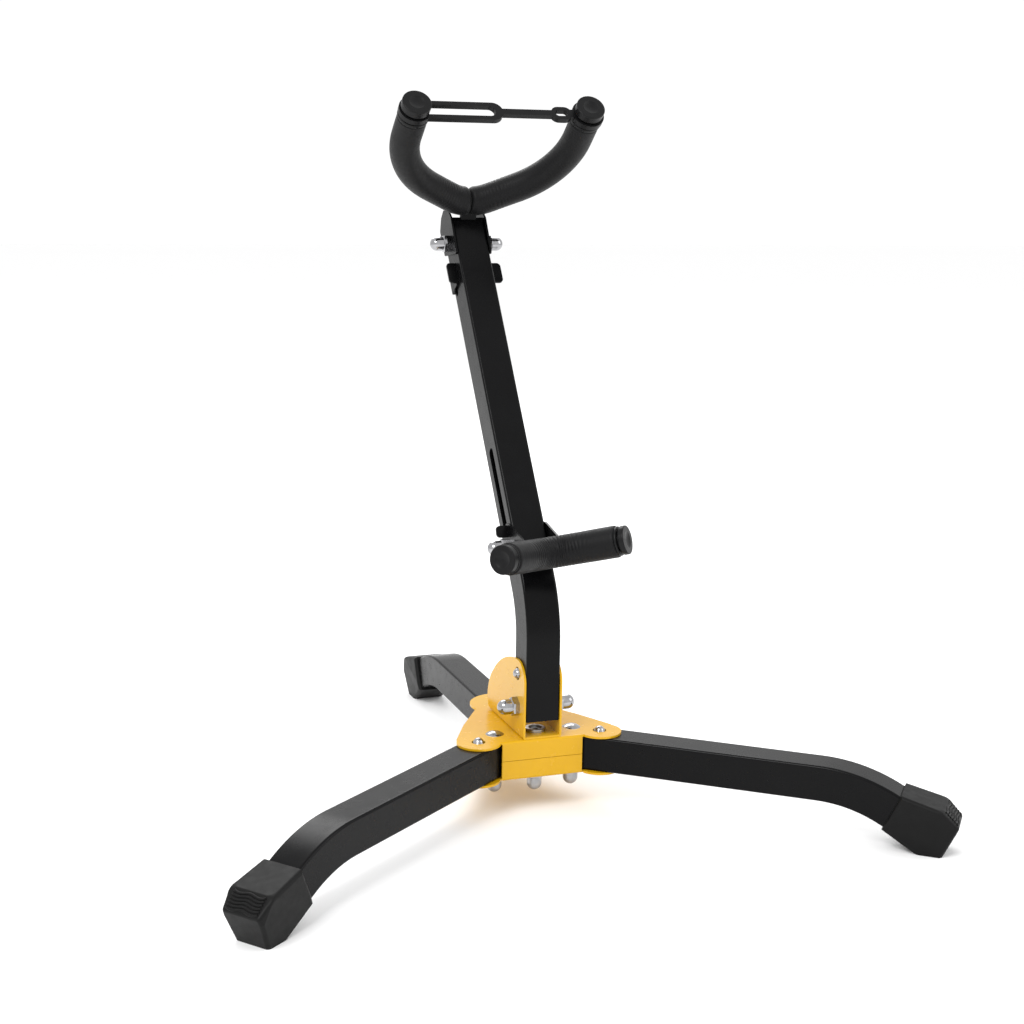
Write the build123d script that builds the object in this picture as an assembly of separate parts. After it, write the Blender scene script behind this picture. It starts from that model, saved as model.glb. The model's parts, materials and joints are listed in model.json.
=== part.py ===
from build123d import *
import math
import os

# Folding saxophone stand. +Z is up, -Y is the front, where the player stands, and X runs across.
# The stand is drawn with its origin on the floor under the foot of the mast, and moved at the end so
# that the origin is the bottom center of its bounding box. Lengths are in millimetres, angles in degrees.

# ---- driving dimensions ----
tube_side = 16.6           # outside of the square steel tube of the mast and the legs
tube_wall = 1.2
tube_corner = 1.2
sheet = 1.0                # thickness of every pressed bracket and plate
play = 0.1                 # side play between a tube and the cheeks around it
half_tube = tube_side / 2
cheek_in = half_tube + play
cheek_out = cheek_in + sheet

# hub: two pressed plates with the legs between them
hub_low = 17.5             # underside of the lower plate
leg_clearance = 0.05
hub_top = hub_low + 2 * sheet + tube_side + 2 * leg_clearance
front_wall_y = -9.1
front_wall_half = 19.8
lobe_x, lobe_y, lobe_r = 30.0, -4.9, 10.3
rear_lobe_y, rear_lobe_r = 47.9, 16.3
pivot_x, pivot_y = 19.2, 4.0
snap_reach = 14.0          # from a leg's pivot to its snap button
center_bolt_y = 1.6
rear_rivet_ys = (26.0, 50.0)        # rivets through the rear leg

# legs
leg_angle = 51.0           # between each front leg and straight forward
leg_mid_z = hub_low + sheet + leg_clearance + half_tube
leg_inner = 7.0            # tube length on the hub side of the pivot
leg_bend_start = 118.0
leg_bend_r = 70.0
leg_bend_angle = 27.0
leg_toe = 13.5             # straight tube past the bend, inside the foot
rear_leg_y = 13.0          # where the pivot of a front leg would be on the rear leg
rear_leg_start = 2.5       # the rear leg's tube begins this far past that point

# mast
mast_low = 44.4            # the tube's lower end
mast_knee = 95.5           # height where the upright and the leaning centrelines meet
mast_lean = 35.1
mast_bend_r = 46.0
mast_pivot_y, mast_pivot_z = 1.2, 49.8
mast_snap_rise = 15.8      # snap button above the pivot bolt

# stations up the leaning part of the mast, measured from the knee
slot_low, slot_high = 20.5, 83.5
rest_station = 32.0
lock_station = 182.5
lock_low = 174.5           # lower edge of the lock clip
lock_travel = 10.0
lock_rivet_n = 4.2         # the clip's rivets behind the tube's centreline
yoke_station = 198.5
web_rise = 8.4             # from the yoke pivot to the underside of the web that covers the mast
mast_top = yoke_station + web_rise - 0.1

# yoke
yoke_root = (0, -14.3, 214.5)      # centre of the rod in the leaning frame
yoke_tilt = 39.7                   # plane of the yoke above level
yoke_heading = 33.0                # slope of the rod beside the middle
yoke_mid_r, yoke_run, yoke_r = 18.0, 15.0, 45.2
yoke_foam_end = 61.2
yoke_cap_face = 71.3

# rest
rest_root = (0, -14.1, 125.8)      # centre of the rod, from the foot of the mast
rest_tilt = 16.0
rest_cant = 5.5                    # the fork is welded a little off square
rest_heading = 40.0
rest_mid_r = 14.0
rest_run = 22.4                    # straight rod beside the middle, up to the end of the foam

rod_r = 3.5
foam_r = 7.3
cap_collar, cap_neck, cap_neck_r = 1.8, 4.2, 5.4

# fasteners
bolt_r = 2.5
running = 0.05             # radial clearance of a bolt in a hole that turns on it
nut_flats = 8.0
nut_hex = 3.6
nut_height = 9.6
button_r = 2.5
button_rise = 2.1          # dome above the plate that it locks into
button_hole_r = 3.2

slope = math.radians(mast_lean)
up_mast = Vector(0, math.sin(slope), math.cos(slope))
lean = Plane(origin=(0, 0, mast_knee), x_dir=(1, 0, 0), z_dir=up_mast)


# ---- helpers ----
def square_ring(side, wall, corner):
    outer = RectangleRounded(side, side, corner)
    return outer - RectangleRounded(side - 2 * wall, side - 2 * wall, 0.4)


def across(y, z, length, radius, x=0.0):
    """A cylinder that lies along X."""
    return Pos(x, y, z) * Rot(0, 90, 0) * Cylinder(radius, length)


def post(radius, height):
    """A cylinder that stands on z = 0."""
    return Cylinder(radius, height, align=(Align.CENTER, Align.CENTER, Align.MIN))


def side_plate(outline, x_from, x_to):
    """Extrude a sketch drawn in (Y, Z) from one X to another."""
    face = Plane.YZ.offset(x_from) * outline
    return extrude(face, x_to - x_from)


def acorn_nut():
    """Domed nut standing on z = 0 with its dome up and a blind bore."""
    hexagon = extrude(RegularPolygon(nut_flats / 2, 6, major_radius=False), nut_hex)
    corner_r = nut_flats / 2 / math.cos(math.pi / 6)
    bevel = Cone(corner_r, corner_r - 1.6, 1.6 * 0.6, align=(Align.CENTER, Align.CENTER, Align.MIN))
    crown = Pos(0, 0, nut_hex - 0.96) * bevel
    body = post(corner_r, nut_hex - 0.96)
    hexagon = hexagon & (body + crown)
    dome_r = 3.55
    neck = post(dome_r, nut_height - dome_r)
    dome = Pos(0, 0, nut_height - dome_r) * Sphere(dome_r)
    bore = post(bolt_r, nut_height - 2.6)
    return hexagon + neck + dome - bore


def rivet_head(radius, height):
    """Low dome standing on z = 0."""
    ball = (radius**2 + height**2) / (2 * height)
    cap = Pos(0, 0, height - ball) * Sphere(ball)
    return cap & post(radius, height)


def sweep_round(path, radius, bore=0.0):
    outer = Circle(radius)
    ring = outer - Circle(bore) if bore else outer
    return sweep(Plane(path @ 0, z_dir=path % 0) * ring, path)


def bent_rod_half(mid_r, heading, run, arc_r, end):
    """Half of a fork's centreline in its own plane: a gentle middle, a run, an arc and a straight end."""
    a = math.radians(heading)
    p1 = (mid_r * math.sin(a), mid_r * (1 - math.cos(a)))
    p2 = (p1[0] + run * math.cos(a), p1[1] + run * math.sin(a))
    middle = RadiusArc((0, 0), p1, -mid_r)
    straight = Line(p1, p2)
    if not arc_r:
        return [middle, straight], p2
    p3 = (p2[0] + arc_r * (1 - math.sin(a)), p2[1] + arc_r * math.cos(a))
    bow = RadiusArc(p2, p3, -arc_r)
    return [middle, straight, bow, Line(p3, (p3[0], end))], (p3[0], end)


def mirrored(part):
    return mirror(part, about=Plane.YZ)


# ---- legs and feet, drawn with X out along the leg from its pivot and Z up ----
def leg_path(inner):
    a = math.radians(leg_bend_angle)
    knee = (leg_bend_start, 0, leg_mid_z)
    arc_x = leg_bend_start + leg_bend_r * math.sin(a)
    arc_z = leg_mid_z - leg_bend_r * (1 - math.cos(a))
    toe = (arc_x + leg_toe * math.cos(a), 0, arc_z - leg_toe * math.sin(a))
    straight = Line((-inner, 0, leg_mid_z), knee)
    bend = ThreePointArc(
        knee,
        (
            leg_bend_start + leg_bend_r * math.sin(a / 2),
            0,
            leg_mid_z - leg_bend_r * (1 - math.cos(a / 2)),
        ),
        (arc_x, 0, arc_z),
    )
    return Wire([straight, bend, Line((arc_x, 0, arc_z), toe)])


def along_leg(section, inner):
    path = leg_path(inner)
    return sweep(Plane(path @ 0, x_dir=(0, 1, 0), z_dir=(1, 0, 0)) * section, path)


def leg_tube(inner):
    return along_leg(square_ring(tube_side, tube_wall, tube_corner), inner)


def front_leg_tube():
    tube = leg_tube(leg_inner)
    tube -= Pos(0, 0, leg_mid_z) * Cylinder(bolt_r + running, tube_side + 2)
    return tube - Pos(snap_reach, 0, leg_mid_z + half_tube) * Cylinder(button_r + 0.1, 6)


def foot():
    """Moulded rubber boot: flat sole, sloping top, ribbed toe, wider at the ridge than at the mouth."""
    mouth_x, ridge_x, nose_x = 148.0, 174.5, 181.7
    side = Polyline(
        (155.9, 26.6), (ridge_x, 22.0), (nose_x, 14.9), (174.9, 0), (162.8, 0), (mouth_x, 9.6), close=True
    )
    body = extrude(Plane.XZ * make_face(side), 13, both=True)
    plan = Polyline(
        (mouth_x - 1, -9.9), (ridge_x, -11.2), (nose_x + 1, -9.0),
        (nose_x + 1, 9.0), (ridge_x, 11.2), (mouth_x - 1, 9.9), close=True,
    )
    body &= extrude(make_face(plan), 40)
    front = Polyline((-8.4, -0.1), (8.4, -0.1), (11.2, 22), (11.2, 40), (-11.2, 40), (-11.2, 22), close=True)
    body &= Pos(140, 0, 0) * extrude(Plane.YZ * make_face(front), 50)
    around = body.edges().filter_by(lambda e: abs(e.center().Y) > 6 and e.center().Z > 1)
    body = fillet(around, 1.7)
    toe_edges = body.edges().filter_by(lambda e: e.center().X > ridge_x - 2 and e.center().Z > 13)
    ridges = toe_edges.filter_by(lambda e: e.length > 12)
    body = fillet(ridges, 1.5)
    body -= along_leg(RectangleRounded(tube_side, tube_side, tube_corner), 0)
    return body + foot_ribs(ridge_x, nose_x)


def foot_ribs(ridge_x, nose_x):
    """Six wavy bars across the sloping toe."""
    fall = 22.0 - 14.9
    run = nose_x - ridge_x
    ribs = []
    for step in range(6):
        share = 0.15 + 0.14 * step
        origin = (ridge_x + share * run, 0, 22.0 - share * fall)
        toe_plane = Plane(origin=origin, x_dir=(0, 1, 0), z_dir=(fall, 0, run))
        wave = toe_plane * Spline((-7.8, 0.35), (-3.9, -0.35), (0, 0.35), (3.9, -0.35), (7.8, 0.35))
        ribs.append(sweep(Plane(wave @ 0, z_dir=wave % 0) * Circle(0.55), wave))
    return ribs


def snap_clip(reach, wall_to_dome):
    """Snap button riveted to a leaf spring that is folded to a V.

    The inner face of the tube wall is at z = 0 and the button's axis at x = 0, with its dome up.
    """
    deep = tube_side - 2 * tube_wall
    high, low, tip = -1.5, 0.5 - deep, -deep / 2
    points = [(-4, high), (4, high), (reach, tip + 1.1), (reach, tip - 1.1), (4, low), (-4, low)]
    strip = trace(Polyline(*points), 0.6)
    spring = extrude(Plane.XZ * strip, 2.6, both=True)
    collar = Pos(0, 0, -1.3) * post(3.6, 1.1)
    stem = Pos(0, 0, -0.5) * post(button_r, wall_to_dome - 1.3)
    dome = Pos(0, 0, wall_to_dome - button_r) * Sphere(button_r)
    top = Pos(0, 0, wall_to_dome - 1.8) * post(button_r, 3)
    return spring + collar + stem + (dome & top)


def place_leg(shape, side):
    """Swing a leg part from +X to its direction; side is 1 for the right leg and -1 for the left."""
    turned = Rot(0, 0, leg_angle - 90) * shape
    placed = Pos(pivot_x, pivot_y, 0) * turned
    return placed if side > 0 else mirrored(placed)


def place_rear(shape):
    return Pos(0, rear_leg_y, 0) * Rot(0, 0, 90) * shape


# ---- hub ----
def hub_outline():
    """Plate outline: two front lobes, a rear lobe and waisted flanks between them."""
    flank = Polyline(
        (0, front_wall_y), (front_wall_half, front_wall_y), (lobe_x, lobe_y - 2),
        (lobe_x + lobe_r - 1.6, lobe_y + 6.4), (29.6, 19.8), (20.6, 34.8), (rear_lobe_r - 0.9, rear_lobe_y - 4.6),
        (0, rear_lobe_y), close=True,
    )
    half = make_face(flank)
    half += Pos(lobe_x, lobe_y) * Circle(lobe_r)
    half += Pos(0, rear_lobe_y) * Circle(rear_lobe_r)
    both = half + mirror(half, about=Plane.YZ)
    front_gap = Pos(0, front_wall_y - 10) * Rectangle(2 * front_wall_half, 20)
    return both - front_gap


def hub_plate(z_low, wall_low, wall_high):
    plate = Pos(0, 0, z_low) * extrude(hub_outline(), sheet)
    wall = Pos(0, front_wall_y + sheet / 2, (wall_low + wall_high) / 2) * Box(
        2 * front_wall_half, sheet, wall_high - wall_low
    )
    body = plate + wall
    for side in (-1, 1):
        body -= Pos(side * pivot_x, pivot_y, z_low) * Cylinder(bolt_r, 10)
    body -= Pos(0, center_bolt_y, z_low) * Cylinder(bolt_r, 10)
    for y in rear_rivet_ys:
        body -= Pos(0, y, z_low) * Cylinder(bolt_r, 10)
    return body


def snap_point(side):
    a = math.radians(leg_angle)
    return side * (pivot_x + snap_reach * math.sin(a)), pivot_y - snap_reach * math.cos(a)


def fold_round(z_corner, inward):
    """What the bend between a plate and the front wall leaves off its sharp corner."""
    r = 1.1
    block = Pos(0, front_wall_y + r / 2, z_corner + inward * r / 2) * Box(2 * front_wall_half + 2, r, r)
    return block - across(front_wall_y + r, z_corner + inward * r, 2 * front_wall_half + 4, r)


def hub_top_plate():
    seam = (hub_low + hub_top) / 2
    plate = hub_plate(hub_top - sheet, seam + 0.1, hub_top) - fold_round(hub_top, -1)
    for side in (-1, 1):
        x, y = snap_point(side)
        plate -= Pos(x, y, hub_top) * Cylinder(button_hole_r, 10)
    return plate


def hub_bottom_plate():
    seam = (hub_low + hub_top) / 2
    return hub_plate(hub_low, hub_low, seam - 0.1) - fold_round(hub_low, 1)


def mast_bracket():
    """Yellow clevis that carries the mast: a base on the hub and two long rounded ears."""
    base_z = hub_top + sheet
    front, back = -8.3, 38.0
    outline = [
        Line((front, hub_top), (front, 62.0)),
        ThreePointArc((front, 62.0), (-5.4, 69.2), (2.5, 72.1)),
        ThreePointArc((2.5, 72.1), (21.5, 67.4), (36.0, 57.5)),
        ThreePointArc((36.0, 57.5), (42.2, 49.6), (44.2, 41.5)),
        Line((44.2, 41.5), (42.4, 37.6)),
        Line((42.4, 37.6), (back, hub_top)),
        Line((back, hub_top), (front, hub_top)),
    ]
    ear = make_face(outline)
    ears = side_plate(ear, cheek_in, cheek_out) + side_plate(ear, -cheek_out, -cheek_in)
    base = Pos(0, (front + back) / 2, hub_top + sheet / 2) * Box(2 * cheek_out, back - front, sheet)
    body = ears + base
    folds = [e for e in body.edges().filter_by(Axis.Y)
             if abs(abs(e.center().X) - cheek_out) < 0.01 and abs(e.center().Z - hub_top) < 0.01]
    body = fillet(folds, 1.0)
    body -= across(mast_pivot_y, mast_pivot_z, 60, bolt_r)
    body -= across(mast_pivot_y, mast_pivot_z + mast_snap_rise, 20, button_hole_r - 0.1, -cheek_out)
    body -= Pos(0, center_bolt_y, base_z) * Cylinder(bolt_r, 10)
    for y in rear_rivet_ys[:1]:
        body -= Pos(0, y, base_z) * Cylinder(bolt_r, 10)
    return body


def center_bolt():
    """Socket-head bolt that clamps the bracket to the hub."""
    seat = hub_top + sheet
    length = seat - hub_low + nut_height - 2.7
    shank = Pos(0, center_bolt_y, seat - length) * post(bolt_r, length)
    head = Pos(0, center_bolt_y, seat) * post(4.9, 1.4)
    head = fillet(head.edges().sort_by(Axis.Z)[-1], 0.5)
    socket = Pos(0, center_bolt_y, seat - 1.8) * extrude(RegularPolygon(1.5, 6, major_radius=False), 3.0)
    flare = Pos(0, center_bolt_y, seat + 1.4) * Cylinder(3.2, 2.0)
    return shank + head - socket - flare


def hub_spacer():
    """Tube round the center bolt that keeps the plates apart."""
    tall = hub_top - hub_low - 2 * sheet
    ring = Circle(4.2) - Circle(bolt_r)
    return Pos(0, center_bolt_y, hub_low + sheet) * extrude(ring, tall)


def leg_pivot_bolt(side):
    length = hub_top - hub_low + nut_height - 2.7
    shank = Pos(0, 0, hub_top - length) * post(bolt_r, length)
    return Pos(side * pivot_x, pivot_y, 0) * (shank + Pos(0, 0, hub_top) * rivet_head(4.3, 1.5))


def hub_acorn_nuts():
    nut = Rot(180, 0, 0) * acorn_nut()
    spots = [(-pivot_x, pivot_y), (0, center_bolt_y), (pivot_x, pivot_y)]
    return [Pos(x, y, hub_low) * nut for x, y in spots]


def rear_leg_rivets():
    rivets = []
    for y, seat in zip(rear_rivet_ys, (hub_top + sheet, hub_top)):
        shank = Pos(0, y, hub_low) * post(bolt_r, seat - hub_low)
        top = Pos(0, y, seat) * rivet_head(4.0, 1.4)
        foot_head = Pos(0, y, hub_low) * Rot(180, 0, 0) * rivet_head(4.0, 1.4)
        rivets.append(shank + top + foot_head)
    return rivets


def rear_leg():
    tube = place_rear(leg_tube(-rear_leg_start))
    for y in rear_rivet_ys:
        tube -= Pos(0, y, leg_mid_z) * Cylinder(bolt_r, tube_side + 4)
    return tube


# ---- mast ----
def mast_path():
    tangent = mast_bend_r * math.tan(slope / 2)
    start = Vector(0, 0, mast_low)
    knee = Vector(0, 0, mast_knee)
    bend_in = knee - Vector(0, 0, tangent)
    bend_out = knee + up_mast * tangent
    top = knee + up_mast * mast_top
    half = slope / 2
    centre = bend_in + Vector(0, mast_bend_r, 0)
    mid = centre + Vector(0, -mast_bend_r * math.cos(half), mast_bend_r * math.sin(half))
    return Wire([Line(start, bend_in), ThreePointArc(bend_in, mid, bend_out), Line(bend_out, top)])


def mast():
    """Square tube, upright at the foot and leaning back above the knee, slotted for the rest."""
    path = mast_path()
    section = square_ring(tube_side, tube_wall, tube_corner)
    tube = sweep(Plane(path @ 0, x_dir=(1, 0, 0), z_dir=(0, 0, 1)) * section, path)
    tube -= across(mast_pivot_y, mast_pivot_z, 40, bolt_r + running)
    tube -= across(mast_pivot_y, mast_pivot_z + mast_snap_rise, 8, button_r + 0.1, -half_tube)
    tube -= side_slot(0, slot_low, slot_high, bolt_r + 0.2)
    tube -= side_slot(lock_rivet_n, lock_station - lock_travel - 1.7, lock_station + 1.7, 1.7)
    tube -= lean * across(0, yoke_station, 40, bolt_r)
    return tube - mast_top_cut()


def side_slot(n, station_low, station_high, r):
    """Round-ended slot through both side walls of the leaning part of the mast."""
    slot = SlotOverall(station_high - station_low, 2 * r, rotation=90)
    cut = extrude(Plane.YZ * slot, 20, both=True)
    return lean * (Pos(0, n, (station_low + station_high) / 2) * cut)


def mast_top_cut():
    """What is taken off the rear of the mast's top so that the web of the yoke can swing over it."""
    block = Pos(0, half_tube / 2 + 2, yoke_station + 12) * Box(30, half_tube + 4, 24)
    keep = across(0, yoke_station, 40, web_rise - 0.2)
    return lean * (block - keep)


def mast_top_plug():
    """Plastic plug in the top of the mast, below the yoke bolt's cut."""
    inner = tube_side - 2 * tube_wall - 0.1
    block = Pos(0, 0, yoke_station - 3.4) * extrude(RectangleRounded(inner, inner, 1.2), web_rise + 3.0)
    plug = block & across(0, yoke_station, 40, web_rise - 0.4)
    return lean * (plug - across(0, yoke_station, 40, bolt_r))


def cross_stud(y, z, reach):
    return across(y, z, 2 * reach, bolt_r)


def side_nuts(y, z, seat):
    nut = acorn_nut()
    right = Pos(seat, y, z) * Rot(0, 90, 0) * nut
    left = Pos(-seat, y, z) * Rot(0, -90, 0) * nut
    return [left, right]


# ---- yoke ----
def yoke_plane():
    tilt = math.radians(yoke_tilt)
    forward = Vector(0, -math.cos(tilt), math.sin(tilt))
    root = lean.from_local_coords(Vector(*yoke_root))
    return Plane(origin=root, x_dir=(1, 0, 0), z_dir=Vector(1, 0, 0).cross(forward))


def yoke_bracket():
    """Inverted channel over the top of the mast with a tongue that holds the rod."""
    low = yoke_station - 11.0
    top = yoke_station + web_rise + sheet
    outline = Polyline(
        (-8.3, low), (-9.8, top), (-7.6, top + 5.4), (-1.4, top + 9.6), (4.0, top + 8.4), (9.2, top + 3.6),
        (9.0, yoke_station - 1.6), close=True,
    )
    cheek = fillet(make_face(outline).vertices(), 1.5)
    cheeks = side_plate(cheek, cheek_in, cheek_out) + side_plate(cheek, -cheek_out, -cheek_in)
    web_back, web_front = 7.6, -9.7
    web = Pos(0, (web_back + web_front) / 2, top - sheet / 2) * Box(2 * cheek_out, web_back - web_front, sheet)
    body = lean * (cheeks + web - across(0, yoke_station, 40, bolt_r + running))
    return body + yoke_tongue(0)


def yoke_tongue(grow):
    """Strip from the web's front edge up to the rod."""
    front = Vector(0, -8.6, yoke_station + web_rise + sheet / 2)
    rod = Vector(*yoke_root)
    run = rod - front
    mid = front + run * 0.5
    angle = math.degrees(math.atan2(run.Z, -run.Y))
    long = run.length - rod_r + 1.0
    centre = front + run.normalized() * (long / 2)
    strip = Box(8 + 2 * grow, long + 2 * grow, 2.2 + 2 * grow)
    return lean * (Pos(centre.X, centre.Y, centre.Z) * Rot(-angle, 0, 0) * strip)


def yoke_half_wire(end):
    edges, last = bent_rod_half(yoke_mid_r, yoke_heading, yoke_run, yoke_r, end)
    return Wire(edges)


def yoke_rod():
    half = sweep_round(yoke_half_wire(yoke_cap_face - 3.0), rod_r)
    full = half + mirrored(half)
    placed = yoke_plane() * full
    return placed - yoke_tongue(0)


def yoke_foam(side):
    """Foam sleeve on one arm of the yoke."""
    half = sweep_round(yoke_half_wire(yoke_foam_end), foam_r, rod_r)
    half -= Box(0.3, 40, 40)
    sleeve = half if side > 0 else mirrored(half)
    return yoke_plane() * sleeve - yoke_tongue(0.2)


def arm_end_x():
    return bent_rod_half(yoke_mid_r, yoke_heading, yoke_run, yoke_r, yoke_foam_end)[1][0]


def end_cap(long, collar, neck, head_r, collar_r, neck_r):
    """Rubber cap, from its collar at z = 0 to its dished face, over the end of a rod."""
    outline = Polyline(
        (0, 0), (collar_r, 0), (collar_r, collar), (neck_r, collar),
        (neck_r, collar + neck), (head_r, collar + neck), (head_r, long), (0, long), close=True,
    )
    profile = make_face(outline)
    rims = [v for v in profile.vertices() if v.X > neck_r + 0.2]
    profile = fillet(rims, 0.45)
    body = revolve(Plane.XZ * profile, Axis.Z)
    dish = Pos(0, 0, long + 8.7) * Sphere(9.5)
    return body - dish


def yoke_cap(side):
    long = yoke_cap_face - yoke_foam_end - 0.1
    cap = end_cap(long, cap_collar, cap_neck, 7.0, 7.5, cap_neck_r)
    cap -= Cylinder(rod_r, 2 * (long - 3.0))
    upright = Rot(-90, 0, 0) * cap
    return yoke_plane() * (Pos(side * arm_end_x(), yoke_foam_end + 0.1, 0) * upright)


def strap():
    """Rubber strap across the yoke: a long loop at the left cap, a bar, an eye, and a ring on the right cap."""
    hole_r, thick = cap_neck_r + 0.05, 2.6
    x = arm_end_x()
    loop_end, loop_out, loop_in = -5.0, 10.4, 5.8
    eye_x, eye_out, eye_in = 29.5, 7.6, 3.4
    outer = Pos(-x, 0) * Circle(hole_r + 2.2) + Pos(x, 0) * Circle(hole_r + 2.5)
    inner = Pos(-x, 0) * Circle(hole_r) + Pos(x, 0) * Circle(hole_r)
    loop_long = loop_end + x
    outer += Pos(loop_end - loop_long / 2, 0) * SlotOverall(loop_long + loop_out, loop_out)
    inner += Pos(loop_end - loop_long / 2 - 1.6, 0) * SlotOverall(loop_long + loop_in, loop_in)
    outer += Pos((loop_end + eye_x) / 2, 0) * Rectangle(eye_x - loop_end - 4, 3.4)
    outer += Pos((x + eye_x) / 2, 0) * Rectangle(x - eye_x, 4.6)
    outer += Pos(eye_x, 0) * SlotOverall(10.6, eye_out)
    inner += Pos(eye_x, 0) * SlotOverall(6.2, eye_in)
    flat = outer - inner
    seat = yoke_foam_end + 0.1 + cap_collar + (cap_neck - thick) / 2
    upright = Rot(-90, 0, 0) * extrude(flat, thick)
    return yoke_plane() * (Pos(0, seat, 0) * upright)


# ---- lock clip below the yoke ----
def lock_clip():
    """Channel round the back of the mast with a wide finger wing on the right and a narrow one on the left."""
    low, high = lock_low, yoke_station - 11.3
    back = half_tube + play
    mid = (low + high) / 2
    tall = high - low
    sides = []
    for side in (-1, 1):
        cheek = Pos(side * (cheek_in + sheet / 2), (back + sheet) / 2, mid) * Box(sheet, back + sheet, tall)
        reach = 6.4 if side > 0 else 3.4
        wing = Pos(side * (cheek_out + reach / 2 - 0.1), sheet / 2, (low + 1.5 + high) / 2)
        wing *= Box(reach, sheet, tall - 1.5)
        tips = [e for e in wing.edges().filter_by(Axis.Y) if abs(e.center().X) > cheek_out + reach / 2]
        sides.append(cheek + fillet(tips, min(2.0, reach / 2)))
    rear = Pos(0, back + sheet / 2, mid) * Box(2 * cheek_out, sheet, tall)
    body = sides[0] + sides[1] + rear
    corners = [e for e in body.edges().filter_by(Axis.Z)
               if abs(abs(e.center().X) - cheek_out) < 0.01 and abs(e.center().Y - back - sheet) < 0.01]
    body = fillet(corners, 1.0)
    return lean * (body - across(lock_rivet_n, lock_station, 40, 1.5))


def lock_rivets():
    rivets = []
    for side in (-1, 1):
        shank = across(lock_rivet_n, lock_station, 3.6, 1.5, side * (cheek_out - 1.8))
        head = Pos(side * cheek_out, lock_rivet_n, lock_station) * Rot(0, side * 90, 0) * rivet_head(2.4, 1.4)
        tail = Pos(side * (cheek_out - 3.6), lock_rivet_n, lock_station) * Rot(0, 90, 0) * Cylinder(2.2, 0.8)
        rivets.append(shank + head + tail)
    return [lean * r for r in rivets]


# ---- rest ----
def rest_plane():
    tilt = math.radians(rest_tilt)
    forward = Vector(0, -math.cos(tilt), math.sin(tilt))
    flat = Plane(origin=rest_root, x_dir=(1, 0, 0), z_dir=Vector(1, 0, 0).cross(forward))
    return flat.rotated((0, -rest_cant, 0))


def rest_half_wire(extra):
    edges, last = bent_rod_half(rest_mid_r, rest_heading, rest_run + extra, 0, 0)
    return Wire(edges), last


def rest_rod():
    half = sweep_round(rest_half_wire(3.6)[0], rod_r)
    return rest_plane() * (half + mirrored(half))


def rest_foam():
    half = sweep_round(rest_half_wire(0)[0], foam_r, rod_r)
    return rest_plane() * (half + mirrored(half)) - rest_cheeks(0.2)


def rest_cap(side):
    long = 4.6
    gap = 0.9 if side > 0 else 0.15
    cap = end_cap(long, 1.2, gap, 6.6, 6.7, 5.0)
    cap -= Cylinder(rod_r, 2 * 3.6)
    end = rest_half_wire(0)[1]
    turned = Rot(0, 0, rest_heading - 90) * (Rot(-90, 0, 0) * cap)
    placed = Pos(end[0], end[1], 0) * turned
    if side < 0:
        placed = mirrored(placed)
    return rest_plane() * placed


def rest_cheeks(grow):
    """Two ears beside the mast that reach forward and down to the rod."""
    station = rest_station
    outline = Polyline(
        (-8.6, station + 8.2), (-4.6, station + 10.4), (4.0, station + 6.2), (8.6, station + 1.0),
        (8.6, station - 6.0), (2.0, station - 9.5), (-25.0, station - 18.5), (-30.5, station - 15.0), close=True,
    )
    cheek = fillet(make_face(outline).vertices(), 1.6)
    if grow:
        cheek = offset(cheek, grow)
    pair = side_plate(cheek, cheek_in - grow, cheek_out + grow)
    return lean * (pair + side_plate(cheek, -cheek_out - grow, -cheek_in + grow))


def rest_bracket():
    station = rest_station
    web_outline = Polyline(
        (-20.8, station - 16.3), (-10.0, station - 11.2), (-10.6, station - 10.2), (-21.3, station - 15.3), close=True
    )
    web = lean * side_plate(make_face(web_outline), -cheek_in, cheek_in)
    tab = Pos(-cheek_out - 2.6, -3.9, station + 6.6) * Rot(12, 0, 0) * Box(5.6, sheet, 5.6)
    corners = tab.edges().filter_by(lambda e: e.length < 1.5).sort_by(Axis.X)[:2]
    tab = lean * fillet(corners, 1.8)
    body = rest_cheeks(0) + web + tab
    body -= lean * across(0, rest_station, 40, bolt_r)
    return body - rest_rod()


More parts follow.
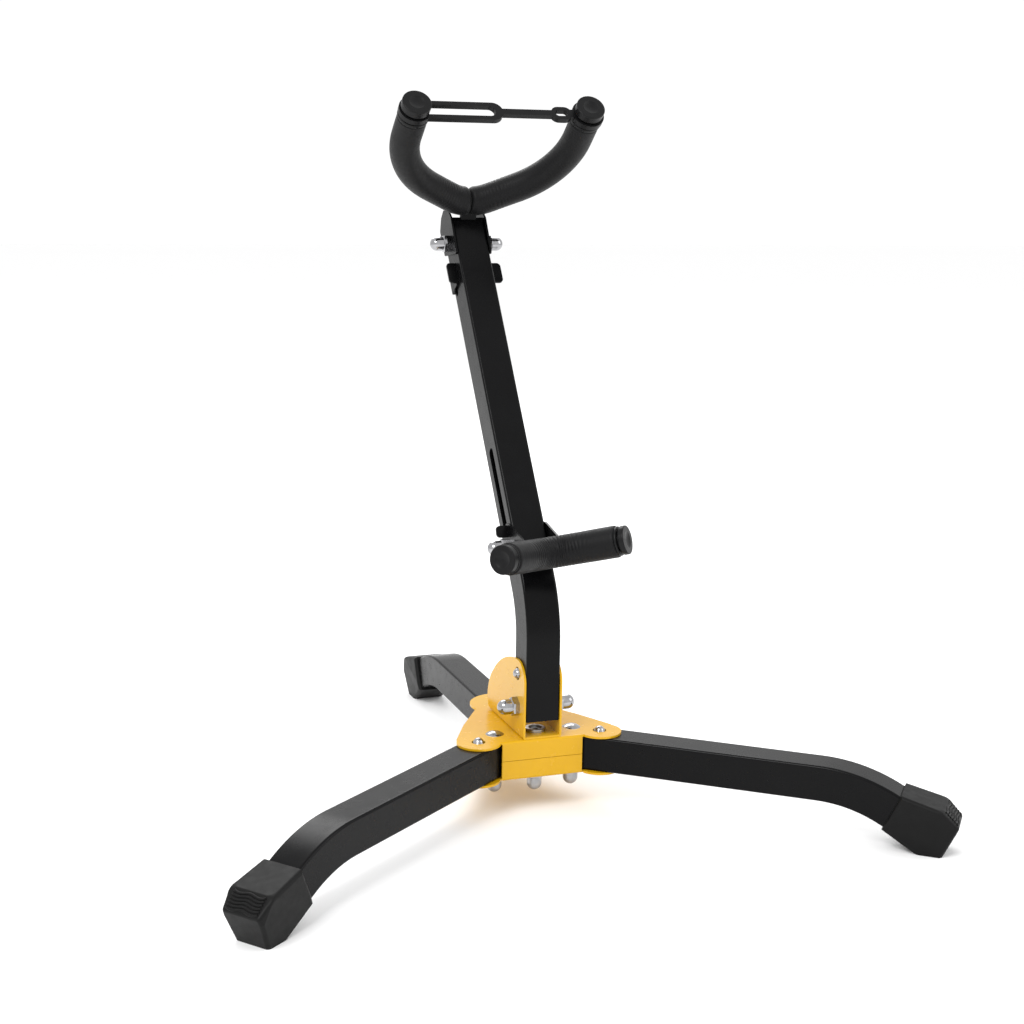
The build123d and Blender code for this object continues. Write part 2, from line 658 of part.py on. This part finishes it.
# ---- assembly ----
def build():
    nodes = {}
    nodes["hub_top_plate"] = hub_top_plate()
    nodes["hub_bottom_plate"] = hub_bottom_plate()
    nodes["hub_spacer"] = hub_spacer()
    nodes["center_bolt"] = center_bolt()
    nodes["leg_pivot_bolts"] = [leg_pivot_bolt(-1), leg_pivot_bolt(1)]
    nodes["hub_acorn_nuts"] = hub_acorn_nuts()
    nodes["mast_bracket"] = mast_bracket()
    nodes["mast_pivot_bolt"] = cross_stud(mast_pivot_y, mast_pivot_z, cheek_out + nut_height - 2.7)
    nodes["mast_pivot_acorn_nuts"] = side_nuts(mast_pivot_y, mast_pivot_z, cheek_out)
    nodes["rear_leg"] = rear_leg()
    nodes["rear_leg_rivets"] = rear_leg_rivets()
    nodes["rear_foot"] = place_rear(foot())
    wall_inside = leg_mid_z + half_tube - tube_wall
    for name, side in (("left", -1), ("right", 1)):
        nodes[f"{name}_leg"] = place_leg(front_leg_tube(), side)
        nodes[f"{name}_foot"] = place_leg(foot(), side)
        clip = Pos(snap_reach, 0, wall_inside) * snap_clip(24, hub_top + button_rise - wall_inside)
        nodes[f"{name}_leg_snap_button"] = place_leg(clip, side)
    nodes["mast"] = mast()
    nodes["mast_top_plug"] = mast_top_plug()
    snap_z = mast_pivot_z + mast_snap_rise
    mast_wall = half_tube - tube_wall
    clip = snap_clip(20, cheek_out + button_rise - mast_wall)
    nodes["mast_snap_button"] = Pos(-mast_wall, mast_pivot_y, snap_z) * Rot(0, -90, 0) * clip
    nodes["yoke_pivot_bolt"] = lean * cross_stud(0, yoke_station, cheek_out + 0.1 + nut_height - 2.7)
    nodes["yoke_pivot_acorn_nuts"] = [lean * n for n in side_nuts(0, yoke_station, cheek_out + 0.1)]
    nodes["yoke_bracket"] = yoke_bracket()
    nodes["yoke_rod"] = yoke_rod()
    for name, side in (("left", -1), ("right", 1)):
        nodes[f"yoke_foam_{name}"] = yoke_foam(side)
        nodes[f"yoke_cap_{name}"] = yoke_cap(side)
        nodes[f"rest_cap_{name}"] = rest_cap(side)
    nodes["strap"] = strap()
    nodes["lock_clip"] = lock_clip()
    nodes["lock_clip_rivets"] = lock_rivets()
    nodes["rest_bracket"] = rest_bracket()
    nodes["rest_rod"] = rest_rod()
    nodes["rest_foam"] = rest_foam()
    nodes["rest_bolt"] = lean * cross_stud(0, rest_station, cheek_out + nut_height - 2.7)
    nodes["rest_acorn_nuts"] = [lean * n for n in side_nuts(0, rest_station, cheek_out)]
    return nodes


def solids_of(shape):
    found = []
    for item in shape if isinstance(shape, list) else [shape]:
        found += list(item.solids())
    return found


os.makedirs("parts", exist_ok=True)
pieces = {node: solids_of(shape) for node, shape in build().items()}
box = Compound([solid for group in pieces.values() for solid in group]).bounding_box()
to_center = Pos(0, -(box.min.Y + box.max.Y) / 2, 0)
print("moved along Y by", -(box.min.Y + box.max.Y) / 2)
for node, group in pieces.items():
    moved = [to_center * solid for solid in group]
    export_step(moved[0] if len(moved) == 1 else Compound(moved), f"parts/{node}.step")
    print(node, len(moved))
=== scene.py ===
import json
import math

import bmesh
import bpy
from mathutils import Matrix, Vector, noise


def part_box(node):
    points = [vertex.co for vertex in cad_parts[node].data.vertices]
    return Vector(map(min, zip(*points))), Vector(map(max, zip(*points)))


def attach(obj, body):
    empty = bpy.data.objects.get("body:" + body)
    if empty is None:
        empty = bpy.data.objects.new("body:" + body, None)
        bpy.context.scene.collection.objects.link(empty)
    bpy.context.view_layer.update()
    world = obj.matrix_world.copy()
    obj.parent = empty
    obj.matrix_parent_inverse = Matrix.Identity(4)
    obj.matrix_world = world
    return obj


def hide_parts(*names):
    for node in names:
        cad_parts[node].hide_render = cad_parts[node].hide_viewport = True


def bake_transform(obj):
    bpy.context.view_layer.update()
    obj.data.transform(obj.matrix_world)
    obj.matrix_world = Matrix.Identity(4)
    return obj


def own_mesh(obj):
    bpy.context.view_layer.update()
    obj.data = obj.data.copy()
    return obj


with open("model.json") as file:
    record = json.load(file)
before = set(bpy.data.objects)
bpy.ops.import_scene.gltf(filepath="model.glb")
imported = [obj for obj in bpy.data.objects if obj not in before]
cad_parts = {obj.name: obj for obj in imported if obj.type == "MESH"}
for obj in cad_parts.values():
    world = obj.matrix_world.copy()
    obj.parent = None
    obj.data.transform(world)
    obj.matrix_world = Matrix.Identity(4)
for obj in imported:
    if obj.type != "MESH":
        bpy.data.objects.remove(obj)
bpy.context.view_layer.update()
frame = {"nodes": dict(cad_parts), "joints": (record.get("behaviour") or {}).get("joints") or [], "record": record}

MM = 0.001

# ---- driving dimensions, in metres and radians ----
MAST_LEAN = math.radians(35.1)
UP_MAST = Vector((0, math.sin(MAST_LEAN), math.cos(MAST_LEAN)))
BEHIND_MAST = Vector((0, math.cos(MAST_LEAN), -math.sin(MAST_LEAN)))

FOAM_R = 7.3 * MM
YOKE_TILT = math.radians(39.7)
YOKE_ROOT = (-14.3 * MM, 16.0 * MM)       # behind the mast's centreline, and up it from the yoke pivot
YOKE_HEADING = math.radians(33.0)          # where its straight run points, from straight across
YOKE_MID_R, YOKE_RUN, YOKE_R = 18.0 * MM, 15.0 * MM, 45.2 * MM
YOKE_FOAM_END = 61.2 * MM
YOKE_PINCH = 2.5 * MM                     # how far each sleeve closes where the two meet
YOKE_WRINKLES_AT, YOKE_WRINKLES_RUN = 17.0 * MM, 7.0 * MM
REST_TILT = math.radians(16.0)
REST_CANT = math.radians(5.5)
REST_ROOT = (-28.96 * MM, -15.32 * MM)    # the same, from the rest's bolt
REST_HEADING = math.radians(40.0)
REST_MID_R, REST_RUN = 14.0 * MM, 22.4 * MM
REST_WRINKLES_END, REST_WRINKLES_FADE = 14.0 * MM, 8.0 * MM

SLEEVE_STEP = 0.22 * MM                   # from ring to ring of the mesh
SLEEVE_SIDES = 96
SLEEVE_END_ROUND = 0.9 * MM
SLEEVE_START_RUN, SLEEVE_START_OPEN = 3.4 * MM, 0.05 * MM
WRINKLE_PITCH = 1.75 * MM
YOKE_SEED, REST_SEED = 3.7, 9.1           # where each sleeve's creases lie in the noise

BUTTON_COLLAR_DOWN = 4.55 * MM            # from the dome's tip to its collar
BUTTON_COLLAR_SLACK = 0.02 * MM

CAD_SMOOTH_UNDER = math.radians(32)       # between faces; a sharper edge stays crisp
SLEEVE_SMOOTH_UNDER = math.radians(60)

CAMERA_YAW, CAMERA_PITCH, CAMERA_ROLL = math.radians(19.58), math.radians(11.29), math.radians(0.93)
CAMERA_LEFT, CAMERA_FRONT, CAMERA_UP = 0.26729, 0.71418, 0.29348      # from the hub, and up from the floor
CAMERA_LENS, CAMERA_SENSOR = 59.71, 36
FLOOR_HALF = 6.0


def joint_place(name):
    for joint in frame["joints"]:
        if joint["name"] == name:
            return Vector(joint["pos_m"])


def middle(node):
    low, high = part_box(node)
    return (low + high) / 2


# ---- materials ----
def new_material(name):
    material = bpy.data.materials.new(name)
    material.use_nodes = True
    tree = material.node_tree
    return material, tree, tree.nodes["Principled BSDF"]


def add_node(tree, kind, **sockets):
    node = tree.nodes.new(kind)
    for socket, value in sockets.items():
        node.inputs[socket].default_value = value
    return node


def noise_at(tree, scale, detail):
    """Noise in metres of the object's own space, so its grain has a real size."""
    coords = add_node(tree, "ShaderNodeTexCoord")
    grain = add_node(tree, "ShaderNodeTexNoise", Scale=scale, Detail=detail, Roughness=0.55)
    tree.links.new(coords.outputs["Object"], grain.inputs["Vector"])
    return grain.outputs["Fac"]


def spread(tree, source, low, high):
    """Map the middle of a noise's range to a range of numbers."""
    ranged = add_node(tree, "ShaderNodeMapRange")
    for key, value in (("From Min", 0.35), ("From Max", 0.65), ("To Min", low), ("To Max", high)):
        ranged.inputs[key].default_value = value
    tree.links.new(source, ranged.inputs["Value"])
    return ranged.outputs["Result"]


def bump_chain(tree, shader, layers):
    """Each layer is (height socket, strength, depth in metres); the last one feeds the shader."""
    below = None
    for height, strength, depth in layers:
        bump = add_node(tree, "ShaderNodeBump", Strength=strength, Distance=depth)
        tree.links.new(height, bump.inputs["Height"])
        if below:
            tree.links.new(below, bump.inputs["Normal"])
        below = bump.outputs["Normal"]
    tree.links.new(below, shader.inputs["Normal"])


def tint(tree, shader, source, dark, light):
    """Base colour between two shades, mixed by a noise value."""
    ramp = add_node(tree, "ShaderNodeValToRGB")
    ramp.color_ramp.elements[0].position = 0.3
    ramp.color_ramp.elements[1].position = 0.7
    ramp.color_ramp.elements[0].color = (*dark, 1)
    ramp.color_ramp.elements[1].color = (*light, 1)
    tree.links.new(source, ramp.inputs["Fac"])
    tree.links.new(ramp.outputs["Color"], shader.inputs["Base Color"])


def powder_coat(name, dark, light, rough, coat, peel, specular):
    """Sprayed and baked powder: faint orange peel, a fine grain and slightly uneven gloss."""
    material, tree, shader = new_material(name)
    tint(tree, shader, noise_at(tree, scale=45, detail=5), dark, light)
    gloss = spread(tree, noise_at(tree, scale=160, detail=6), *rough)
    tree.links.new(gloss, shader.inputs["Roughness"])
    shader.inputs["Specular IOR Level"].default_value = specular
    shader.inputs["Coat Weight"].default_value = coat
    shader.inputs["Coat Roughness"].default_value = 0.12
    bump_chain(tree, shader, [
        (noise_at(tree, scale=900, detail=2), peel, 0.05 * MM),
        (noise_at(tree, scale=4200, detail=3), peel * 0.8, 0.02 * MM),
    ])
    return material


def bright_chrome():
    """Polished plating with a faint ripple."""
    material, tree, shader = new_material("bright_chrome")
    shader.inputs["Metallic"].default_value = 1.0
    tint(tree, shader, noise_at(tree, scale=300, detail=4), (0.30, 0.30, 0.31), (0.42, 0.42, 0.43))
    gloss = spread(tree, noise_at(tree, scale=700, detail=5), 0.06, 0.14)
    tree.links.new(gloss, shader.inputs["Roughness"])
    bump_chain(tree, shader, [(noise_at(tree, scale=1500, detail=4), 0.08, 0.02 * MM)])
    return material


def zinc_steel():
    """Dull zinc plating, mottled grey."""
    material, tree, shader = new_material("zinc_steel")
    shader.inputs["Metallic"].default_value = 1.0
    tint(tree, shader, noise_at(tree, scale=500, detail=5), (0.36, 0.36, 0.37), (0.58, 0.58, 0.58))
    gloss = spread(tree, noise_at(tree, scale=900, detail=5), 0.28, 0.48)
    tree.links.new(gloss, shader.inputs["Roughness"])
    bump_chain(tree, shader, [(noise_at(tree, scale=2500, detail=4), 0.15, 0.02 * MM)])
    return material


def rubber(name, dark, light, rough, grain, specular):
    """Moulded rubber or plastic: dull, with a fine grain over a slow unevenness."""
    material, tree, shader = new_material(name)
    tint(tree, shader, noise_at(tree, scale=120, detail=6), dark, light)
    gloss = spread(tree, noise_at(tree, scale=260, detail=5), *rough)
    tree.links.new(gloss, shader.inputs["Roughness"])
    shader.inputs["Specular IOR Level"].default_value = specular
    bump_chain(tree, shader, [
        (noise_at(tree, scale=700, detail=3), grain * 0.5, 0.05 * MM),
        (noise_at(tree, scale=5200, detail=3), grain, 0.03 * MM),
    ])
    return material


def foam_skin():
    """Closed-cell foam: a dull skin with fine pores and shallow dents."""
    material, tree, shader = new_material("black_foam")
    mottle = noise_at(tree, scale=90, detail=6)
    tint(tree, shader, mottle, (0.004, 0.004, 0.0044), (0.005, 0.005, 0.0054))
    gloss = spread(tree, noise_at(tree, scale=500, detail=5), 0.46, 0.56)
    tree.links.new(gloss, shader.inputs["Roughness"])
    shader.inputs["Specular IOR Level"].default_value = 0.14
    shader.inputs["Sheen Weight"].default_value = 0.03
    shader.inputs["Sheen Roughness"].default_value = 0.5
    coords = add_node(tree, "ShaderNodeTexCoord")
    pores = add_node(tree, "ShaderNodeTexVoronoi", Scale=1700)
    tree.links.new(coords.outputs["Object"], pores.inputs["Vector"])
    bump_chain(tree, shader, [
        (noise_at(tree, scale=420, detail=4), 0.10, 0.08 * MM),
        (pores.outputs["Distance"], 0.22, 0.04 * MM),
        (noise_at(tree, scale=3600, detail=3), 0.25, 0.04 * MM),
    ])
    return material


MATERIALS = {
    "yellow_coat": powder_coat(
        "yellow_coat", (0.57, 0.31, 0.003), (0.60, 0.33, 0.004),
        rough=(0.20, 0.28), coat=0.06, peel=0.10, specular=0.28),
    "black_coat": powder_coat(
        "black_coat", (0.002, 0.002, 0.0022), (0.003, 0.003, 0.0033),
        rough=(0.22, 0.29), coat=0.0, peel=0.16, specular=0.11),
    "bright_chrome": bright_chrome(),
    "zinc": zinc_steel(),
    "black_rubber": rubber(
        "black_rubber", (0.0045, 0.0045, 0.0045), (0.0058, 0.0058, 0.0058),
        rough=(0.42, 0.50), grain=0.30, specular=0.13),
    "cap_rubber": rubber(
        "cap_rubber", (0.0045, 0.0045, 0.0048), (0.006, 0.006, 0.0064),
        rough=(0.28, 0.38), grain=0.15, specular=0.15),
    "black_foam": foam_skin(),
    "black_plastic": rubber(
        "black_plastic", (0.010, 0.010, 0.010), (0.014, 0.014, 0.014),
        rough=(0.4, 0.5), grain=0.2, specular=0.5),
}


# ---- mesh helpers ----
def dress(mesh, material, smooth_under):
    for polygon in mesh.polygons:
        polygon.use_smooth = True
    mesh.set_sharp_from_angle(angle=smooth_under)
    mesh.materials.clear()
    mesh.materials.append(MATERIALS[material])


def add_object(name, data):
    piece = bpy.data.objects.new(name, data)
    bpy.context.scene.collection.objects.link(piece)
    return piece


def fork_point(s, mid_r, a, run, arc_r):
    """A point and direction of half a fork's centreline, s along it, in the fork's own plane.

    It leaves the middle on a bend that turns by a, runs straight, and may end in an arc to straight ahead.
    """
    if s < mid_r * a:
        t = s / mid_r
        return (mid_r * math.sin(t), mid_r * (1 - math.cos(t))), t
    start = (mid_r * math.sin(a), mid_r * (1 - math.cos(a)))
    s -= mid_r * a
    if s < run or not arc_r:
        return (start[0] + s * math.cos(a), start[1] + s * math.sin(a)), a
    start = (start[0] + run * math.cos(a), start[1] + run * math.sin(a))
    s -= run
    if s < arc_r * (math.pi / 2 - a):
        t = a + s / arc_r
        x = start[0] + arc_r * (math.sin(t) - math.sin(a))
        y = start[1] + arc_r * (math.cos(a) - math.cos(t))
        return (x, y), t
    s -= arc_r * (math.pi / 2 - a)
    x = start[0] + arc_r * (1 - math.sin(a))
    return (x, start[1] + arc_r * math.cos(a) + s), math.pi / 2


def fork_length(mid_r, a, run, arc_r, end):
    """Length of half a fork's centreline; one with an arc runs on straight to end ahead of its root."""
    if not arc_r:
        return mid_r * a + run
    straight = end - mid_r * (1 - math.cos(a)) - run * math.sin(a) - arc_r * math.cos(a)
    return mid_r * a + run + arc_r * (math.pi / 2 - a) + straight


class ForkPlane:
    """The plane that a fork's rod lies in: X across, the fork's own forward, and its normal."""

    def __init__(self, origin, tilt, cant=0.0):
        turn = Matrix.Rotation(-cant, 3, "Y")
        self.origin = origin
        self.across = turn @ Vector((1, 0, 0))
        self.forward = turn @ Vector((0, -math.cos(tilt), math.sin(tilt)))
        self.normal = self.across.cross(self.forward)

    def place(self, flat, lift):
        return self.origin + self.across * flat[0] + self.forward * flat[1] + self.normal * lift


def ring_of(plane, centre, angle, radii):
    """A ring of points round the centreline; angle is the centreline's slope in the plane."""
    outward = (-math.sin(angle), math.cos(angle))
    points = []
    for k, r in enumerate(radii):
        turn = 2 * math.pi * k / len(radii)
        flat = (centre[0] + outward[0] * r * math.cos(turn), centre[1] + outward[1] * r * math.cos(turn))
        points.append(plane.place(flat, r * math.sin(turn)))
    return points


def tube_mesh(name, rings):
    """Skin rings of points and close each end."""
    mesh = bmesh.new()
    rows = [[mesh.verts.new(p) for p in ring] for ring in rings]
    count = len(rows[0])
    for a, b in zip(rows, rows[1:]):
        for k in range(count):
            mesh.faces.new((a[k], a[(k + 1) % count], b[(k + 1) % count], b[k]))
    mesh.faces.new(list(reversed(rows[0])))
    mesh.faces.new(rows[-1])
    bmesh.ops.recalc_face_normals(mesh, faces=mesh.faces)
    data = bpy.data.meshes.new(name)
    mesh.to_mesh(data)
    mesh.free()
    return data


# ---- foam ----
def crease(s, turn, seed, bend):
    """How far the skin sinks: fine ring wrinkles, deepest on the inner side of a bend, over slow lumps.

    ring, lump and bend are weighed in millimetres.
    """
    inner = 0.5 + 0.5 * math.cos(turn)
    drift = noise.noise(Vector((s * 140, math.cos(turn) * 0.8 + seed, math.sin(turn) * 0.8)))
    fade = 0.5 + 0.5 * noise.noise(Vector((s * 260 + seed, math.cos(turn) * 1.4, math.sin(turn) * 1.4)))
    fold = abs(math.sin(math.pi * s / WRINKLE_PITCH + 2.2 * drift)) ** 0.6
    lump = 0.5 + 0.5 * noise.noise(Vector((s * 90 + seed, math.cos(turn), math.sin(turn))))
    ring = bend * (0.06 + 0.28 * inner) * (1 - fold) * (0.5 + fade)
    return MM * (ring + 0.07 * lump + 0.04 * bend)


def rounding(share):
    """How far a rounded end is from full size, as a share of its depth; share runs from 0 at the tip to 1."""
    share = min(1.0, max(0.0, share))
    return 1 - math.sqrt(1 - (1 - share) ** 2)


def sleeve_rings(plane, shape, length, side, seed, bend_at, pinch):
    """Rings of one foam sleeve; bend_at gives how hard it is bent at s, and pinch how its start closes."""
    steps = int(length / SLEEVE_STEP)
    rings = []
    for i in range(steps + 1):
        s = length * i / steps
        centre, angle = fork_point(s, *shape)
        centre, angle = (centre[0] * side, centre[1]), angle * side
        round_end = SLEEVE_END_ROUND * rounding((length - s) / SLEEVE_END_ROUND)
        round_start = pinch * rounding((s + SLEEVE_START_OPEN) / SLEEVE_START_RUN)
        radii = []
        for k in range(SLEEVE_SIDES):
            turn = 2 * math.pi * k / SLEEVE_SIDES
            sink = crease(s, turn, seed, bend_at(s))
            radii.append(FOAM_R - sink - round_end - round_start)
        rings.append(ring_of(plane, centre, angle, radii))
    return rings


def foam_sleeve(name, rings, body, stands_for):
    """One closed, padded piece in place of a CAD sleeve."""
    mesh = tube_mesh(name, rings)
    piece = add_object(name, mesh)
    dress(mesh, "black_foam", SLEEVE_SMOOTH_UNDER)
    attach(piece, body)
    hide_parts(stands_for)


def yoke_bend(s):
    """Smooth, apart from a patch of wrinkles where the rod leaves its gentle middle."""
    return 0.05 + 0.75 * math.exp(-(((s - YOKE_WRINKLES_AT) / YOKE_WRINKLES_RUN) ** 2))


def yoke_foam():
    """Two sleeves that meet at the middle of the yoke's rod."""
    origin = joint_place("yoke_fold") + BEHIND_MAST * YOKE_ROOT[0] + UP_MAST * YOKE_ROOT[1]
    plane = ForkPlane(origin, YOKE_TILT)
    shape = (YOKE_MID_R, YOKE_HEADING, YOKE_RUN, YOKE_R)
    length = fork_length(*shape, YOKE_FOAM_END)
    for name, side in (("left", -1), ("right", 1)):
        rings = sleeve_rings(plane, shape, length, side, YOKE_SEED * side, yoke_bend, YOKE_PINCH)
        foam_sleeve(f"yoke_sleeve_{name}", rings, "yoke", f"yoke_foam_{name}")


def rest_bend(s):
    """Wrinkled over the bent middle, and nearly smooth towards the ends."""
    if s < REST_WRINKLES_END:
        return 1.0
    return max(0.1, 1.0 - (s - REST_WRINKLES_END) / REST_WRINKLES_FADE)


def rest_foam():
    """One sleeve over both halves of the rest's rod."""
    origin = middle("rest_bolt") + BEHIND_MAST * REST_ROOT[0] + UP_MAST * REST_ROOT[1]
    plane = ForkPlane(origin, REST_TILT, REST_CANT)
    shape = (REST_MID_R, REST_HEADING, REST_RUN, 0)
    length = fork_length(*shape, 0)
    left = sleeve_rings(plane, shape, length, -1, REST_SEED, rest_bend, 0)
    right = sleeve_rings(plane, shape, length, 1, REST_SEED, rest_bend, 0)
    foam_sleeve("rest_sleeve", list(reversed(left)) + right[1:], "rest", "rest_foam")


# ---- snap buttons ----
def part_of_mesh(node, name, keeps):
    """A closed copy of the faces of a CAD node that keeps() picks."""
    mesh = bmesh.new()
    mesh.from_mesh(frame["nodes"][node].data)
    bmesh.ops.remove_doubles(mesh, verts=mesh.verts, dist=0.001 * MM)
    dropped = [face for face in mesh.faces if not keeps(face)]
    bmesh.ops.delete(mesh, geom=dropped, context="FACES")
    rim = [edge for edge in mesh.edges if edge.is_boundary]
    bmesh.ops.holes_fill(mesh, edges=rim, sides=0)
    data = bpy.data.meshes.new(name)
    mesh.to_mesh(data)
    mesh.free()
    dress(data, "bright_chrome", CAD_SMOOTH_UNDER)
    return add_object(name, data)


def snap_button(member, outward):
    """A dome that sinks when its member folds, and the V spring below its collar, which stays where it is."""
    node = f"{member}_snap_button"
    button = f"{member}_button"
    low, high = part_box(node)
    outward = Vector(outward)
    tip = max(low.dot(outward), high.dot(outward))
    centre = (low + high) / 2
    centre -= outward * centre.dot(outward)
    collar = tip - BUTTON_COLLAR_DOWN

    def above(face):
        return max(vertex.co.dot(outward) for vertex in face.verts) > collar + BUTTON_COLLAR_SLACK

    dome = part_of_mesh(node, f"{button}_dome", above)
    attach(dome, button)
    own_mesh(dome)
    spring = part_of_mesh(node, f"{button}_spring", lambda face: not above(face))
    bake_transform(spring)
    for piece in (dome, spring):
        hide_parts(node)


def snap_buttons():
    snap_button("left_leg", (0, 0, 1))
    snap_button("right_leg", (0, 0, 1))
    snap_button("mast", (-1, 0, 0))


# ---- carried-over CAD nodes ----
def dress_cad():
    """Each node keeps its shape and gets the material of its slot."""
    for part in frame["record"]["subparts"]:
        node = frame["nodes"][part["node"]]
        dress(node.data, part["material_slot"], CAD_SMOOTH_UNDER)


# ---- stage ----
def plain_floor():
    """A wide pale sheet under the feet."""
    mesh = bpy.data.meshes.new("floor")
    corners = [(-1, -1), (1, -1), (1, 1), (-1, 1)]
    mesh.from_pydata([(x * FLOOR_HALF, y * FLOOR_HALF, 0) for x, y in corners], [], [(0, 1, 2, 3)])
    floor = add_object("floor", mesh)
    material, _, shader = new_material("pale_floor")
    shader.inputs["Base Color"].default_value = (0.95, 0.95, 0.95, 1)
    shader.inputs["Roughness"].default_value = 0.8
    mesh.materials.append(material)


def area_light(name, place, aim, size, power):
    data = bpy.data.lights.new(name, "AREA")
    data.shape = "RECTANGLE"
    data.size, data.size_y = size
    data.energy = power
    lamp = add_object(name, data)
    lamp.location = place
    lamp.rotation_euler = (Vector(aim) - Vector(place)).to_track_quat("-Z", "Y").to_euler()


def lights():
    """A bright even room: a soft key from the front left, a fill from the front right, a rim light behind."""
    world = bpy.data.worlds.new("studio")
    world.use_nodes = True
    sky = world.node_tree.nodes["Background"]
    sky.inputs["Color"].default_value = (1, 1, 1, 1)
    sky.inputs["Strength"].default_value = 1.04
    bpy.context.scene.world = world
    bpy.context.scene.view_settings.view_transform = "Standard"
    area_light("key", (-0.9, -0.8, 1.3), (0, 0, 0.1), (0.7, 0.7), 16)
    area_light("fill", (1.1, -0.7, 0.8), (0, 0, 0.1), (0.9, 0.9), 5)
    area_light("back", (0.2, 1.2, 1.1), (0, 0, 0.15), (1.2, 0.6), 10)


def camera():
    """Three-quarter view from the front left, from the height of the mast's upper end, turned down."""
    forward = Vector((
        math.sin(CAMERA_YAW) * math.cos(CAMERA_PITCH),
        math.cos(CAMERA_YAW) * math.cos(CAMERA_PITCH),
        -math.sin(CAMERA_PITCH),
    ))
    right = Vector((math.cos(CAMERA_YAW), -math.sin(CAMERA_YAW), 0))
    up = right.cross(forward)
    rolled_right = right * math.cos(CAMERA_ROLL) + up * math.sin(CAMERA_ROLL)
    rolled_up = up * math.cos(CAMERA_ROLL) - right * math.sin(CAMERA_ROLL)
    data = bpy.data.cameras.new("camera")
    data.lens = CAMERA_LENS
    data.sensor_width = CAMERA_SENSOR
    eye = add_object("camera", data)
    place = Vector((-CAMERA_LEFT, middle("center_bolt").y - CAMERA_FRONT, CAMERA_UP))
    eye.matrix_world = Matrix((
        (rolled_right.x, rolled_up.x, -forward.x, place.x),
        (rolled_right.y, rolled_up.y, -forward.y, place.y),
        (rolled_right.z, rolled_up.z, -forward.z, place.z),
        (0, 0, 0, 1),
    ))
    bpy.context.scene.camera = eye


dress_cad()
yoke_foam()
rest_foam()
snap_buttons()
plain_floor()
lights()
camera()
